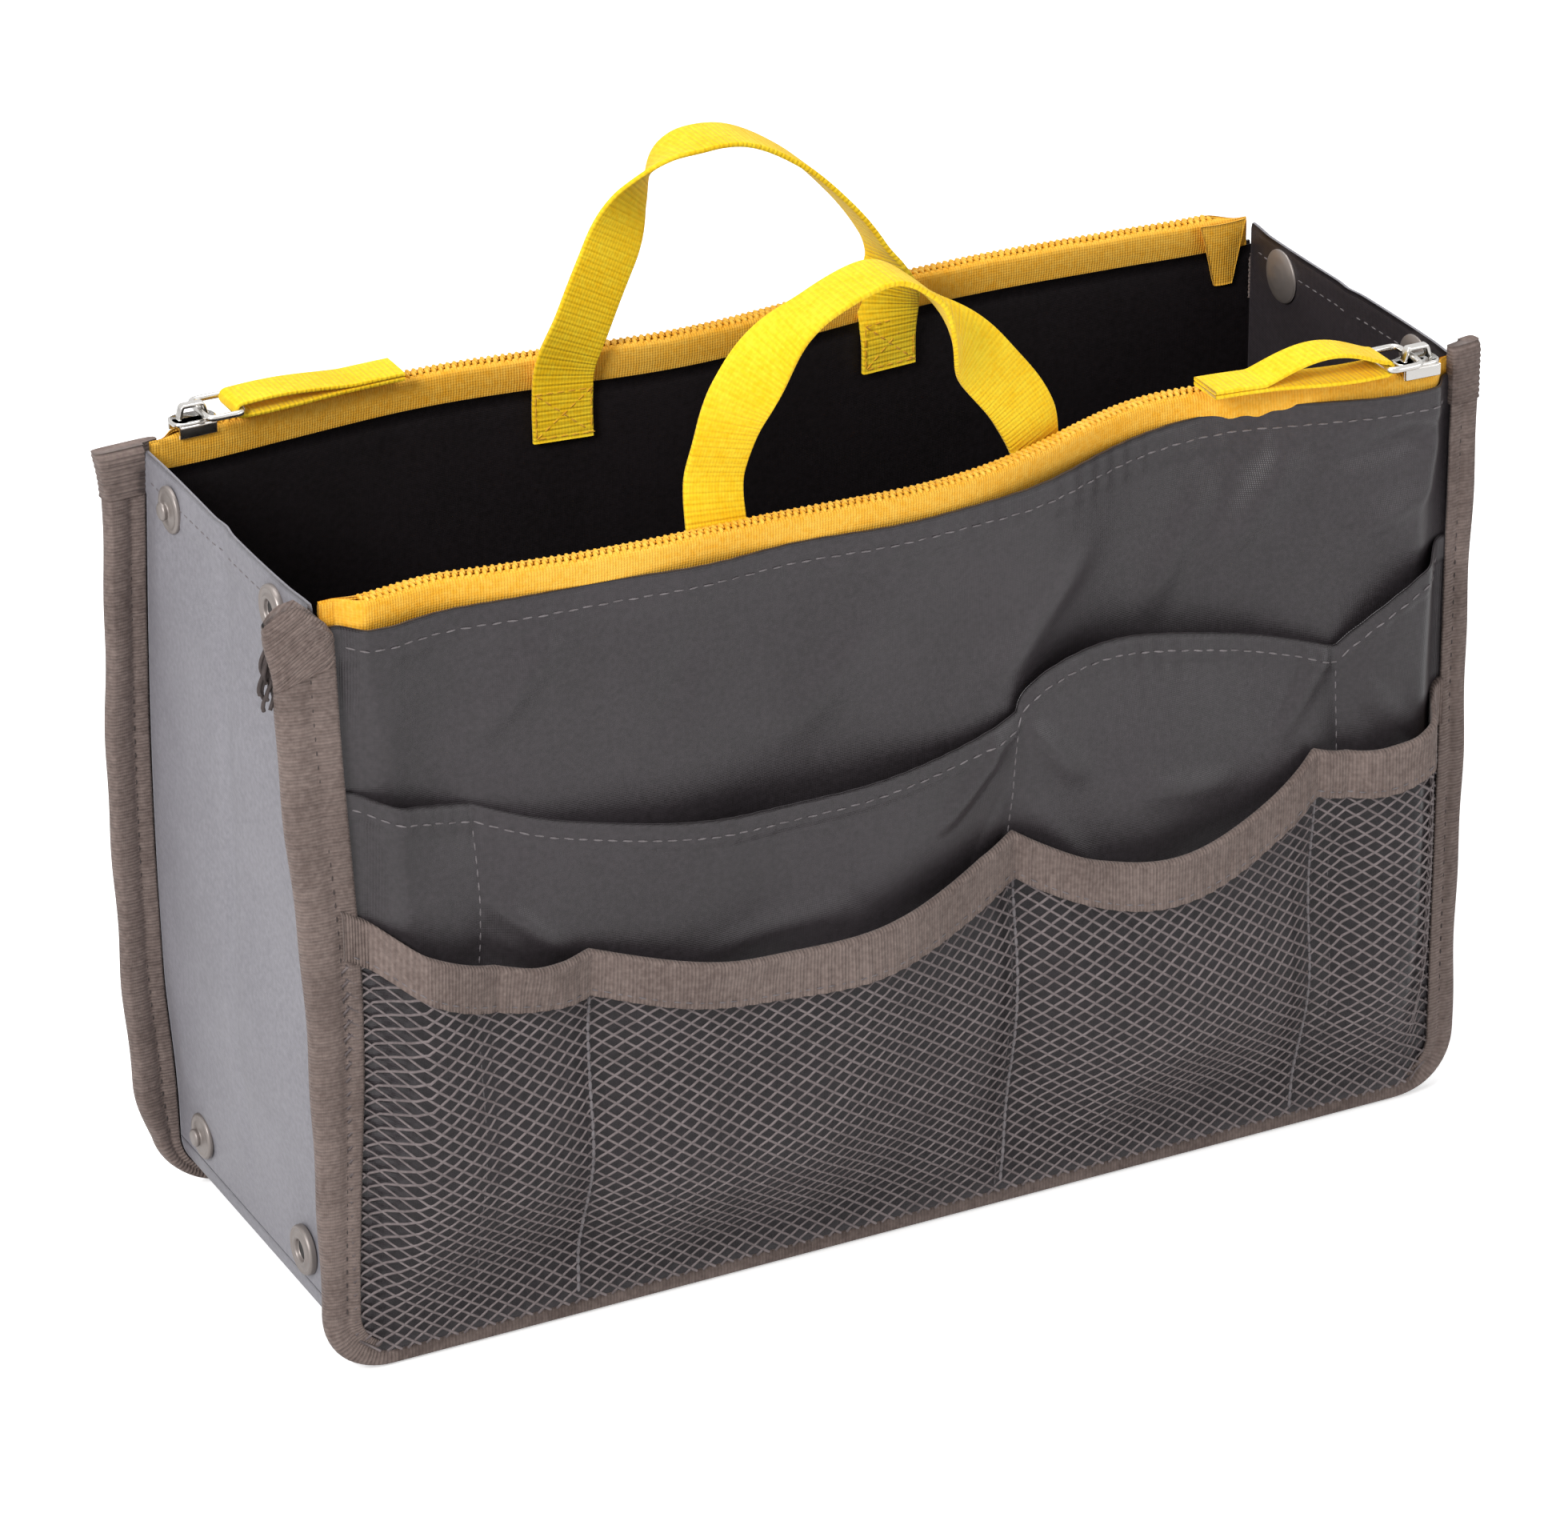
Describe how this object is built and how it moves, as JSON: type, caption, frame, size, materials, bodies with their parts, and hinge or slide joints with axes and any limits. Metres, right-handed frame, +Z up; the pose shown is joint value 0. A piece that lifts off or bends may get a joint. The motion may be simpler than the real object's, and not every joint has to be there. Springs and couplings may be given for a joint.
{
  "type": "handbag organiser insert",
  "caption": "Soft open-topped organiser insert for a handbag: zipped walls, fold-in ends with snap fasteners, webbing handles, cloth and net pockets.",
  "frame": {"origin": "on the floor, under the middle of the whole object's box", "axes": "+X along the long walls, +Y towards the back wall, +Z up"},
  "size_m": [0.278, 0.1214, 0.2213],
  "materials": {
    "shell": "satin woven nylon",
    "lining": "satin woven nylon",
    "end_cloth": "satin woven nylon",
    "binding": "ribbed grosgrain",
    "net": "knitted net",
    "zip_tape": "woven tape",
    "webbing": "woven webbing",
    "nickel": "bright nickel plate",
    "pewter": "dark plated snap fastener"
  },
  "bodies": {
    "front_wall": {"front_outer_panel": "shell", "front_inner_panel": "lining", "front_binding": "binding", "front_zip_tape_outer": "zip_tape", "front_zip_tape_inner": "zip_tape", "front_handle_foot_left": "webbing", "front_handle_foot_right": "webbing", "front_cloth_pocket": "shell", "front_net_pocket": "net", "front_net_mouth_binding": "binding", "base": "end_cloth"},
    "left_front_half": {"left_end_front_half": "end_cloth", "left_upper_socket": "pewter", "left_upper_socket_cap": "pewter", "left_lower_socket": "pewter", "left_lower_socket_cap": "pewter"},
    "left_back_half": {"left_end_back_half": "end_cloth", "left_upper_stud": "pewter", "left_upper_stud_cap": "pewter", "left_lower_stud": "pewter", "left_lower_stud_cap": "pewter"},
    "back_wall": {"back_outer_panel": "shell", "back_inner_panel": "lining", "back_binding": "binding", "back_zip_tape_outer": "zip_tape", "back_zip_tape_inner": "zip_tape", "back_handle_foot_left": "webbing", "back_handle_foot_right": "webbing", "back_cloth_pocket": "shell"},
    "right_front_half": {"right_end_front_half": "end_cloth", "right_upper_socket": "pewter", "right_upper_socket_cap": "pewter", "right_lower_socket": "pewter", "right_lower_socket_cap": "pewter"},
    "right_back_half": {"right_end_back_half": "end_cloth", "right_upper_stud": "pewter", "right_upper_stud_cap": "pewter", "right_lower_stud": "pewter", "right_lower_stud_cap": "pewter"},
    "front_slider": {"front_zip_slider": "nickel"},
    "front_pull_ring": {"front_pull_ring": "nickel"},
    "front_pull_webbing": {"front_pull_webbing": "webbing"},
    "front_handle": {"front_handle": "webbing"},
    "back_slider": {"back_zip_slider": "nickel"},
    "back_pull_ring": {"back_pull_ring": "nickel"},
    "back_pull_webbing": {"back_pull_webbing": "webbing"},
    "back_handle": {"back_handle": "webbing"}
  },
  "joints": [
    {"name": "left_front_seam", "type": "hinge", "parent": "front_wall", "child": "left_front_half", "pos_m": [-0.129, -0.03537, 0.0144], "axis": [0, 0, -1], "range_deg": [0, 85], "deforming": ["base"]},
    {"name": "left_crease", "type": "hinge", "parent": "left_front_half", "child": "left_back_half", "pos_m": [-0.1299, 0.00513, 0.0144], "axis": [0, 0, 1], "range_deg": [0, 170]},
    {"name": "left_back_seam", "type": "hinge", "parent": "left_back_half", "child": "back_wall", "pos_m": [-0.129, 0.04563, 0.0144], "axis": [0, 0, -1], "range_deg": [0, 85]},
    {"name": "right_front_seam", "type": "hinge", "parent": "front_wall", "child": "right_front_half", "pos_m": [0.129, -0.03537, 0.0144], "axis": [0, 0, 1], "range_deg": [0, 85]},
    {"name": "right_crease", "type": "hinge", "parent": "right_front_half", "child": "right_back_half", "pos_m": [0.1299, 0.00513, 0.0144], "axis": [0, 0, -1], "range_deg": [0, 170]},
    {"name": "front_zip_slide", "type": "slide", "parent": "front_wall", "child": "front_slider", "axis": [-1, 0, 0], "range_m": [0, 0.234], "deforming": ["front_zip_tape_outer", "front_zip_tape_inner"]},
    {"name": "front_ring_hinge", "type": "hinge", "parent": "front_slider", "child": "front_pull_ring", "pos_m": [0.1163, -0.04027, 0.1775], "axis": [0, 1, 0], "range_deg": [0, 100]},
    {"name": "front_webbing_hinge", "type": "hinge", "parent": "front_pull_ring", "child": "front_pull_webbing", "pos_m": [0.1083, -0.04027, 0.1775], "axis": [0, 1, 0], "range_deg": [0, 80]},
    {"name": "front_handle_fold", "type": "hinge", "parent": "front_wall", "child": "front_handle", "pos_m": [0, -0.03327, 0.177], "axis": [1, 0, 0], "range_deg": [-55, 90]},
    {"name": "back_zip_slide", "type": "slide", "parent": "back_wall", "child": "back_slider", "axis": [1, 0, 0], "range_m": [0, 0.234], "deforming": ["back_zip_tape_outer", "back_zip_tape_inner"]},
    {"name": "back_ring_hinge", "type": "hinge", "parent": "back_slider", "child": "back_pull_ring", "pos_m": [-0.1163, 0.05053, 0.1775], "axis": [0, -1, 0], "range_deg": [0, 100]},
    {"name": "back_webbing_hinge", "type": "hinge", "parent": "back_pull_ring", "child": "back_pull_webbing", "pos_m": [-0.1083, 0.05053, 0.1775], "axis": [0, -1, 0], "range_deg": [0, 80]},
    {"name": "back_handle_fold", "type": "hinge", "parent": "back_wall", "child": "back_handle", "pos_m": [0, 0.04353, 0.177], "axis": [-1, 0, 0], "range_deg": [-55, 90]}
  ],
  "couplings": [
    {"joint": "left_crease", "follows": "left_front_seam", "ratio": 2},
    {"joint": "left_back_seam", "follows": "left_front_seam", "ratio": 1},
    {"joint": "right_front_seam", "follows": "left_front_seam", "ratio": 1},
    {"joint": "right_crease", "follows": "left_front_seam", "ratio": 2}
  ]
}
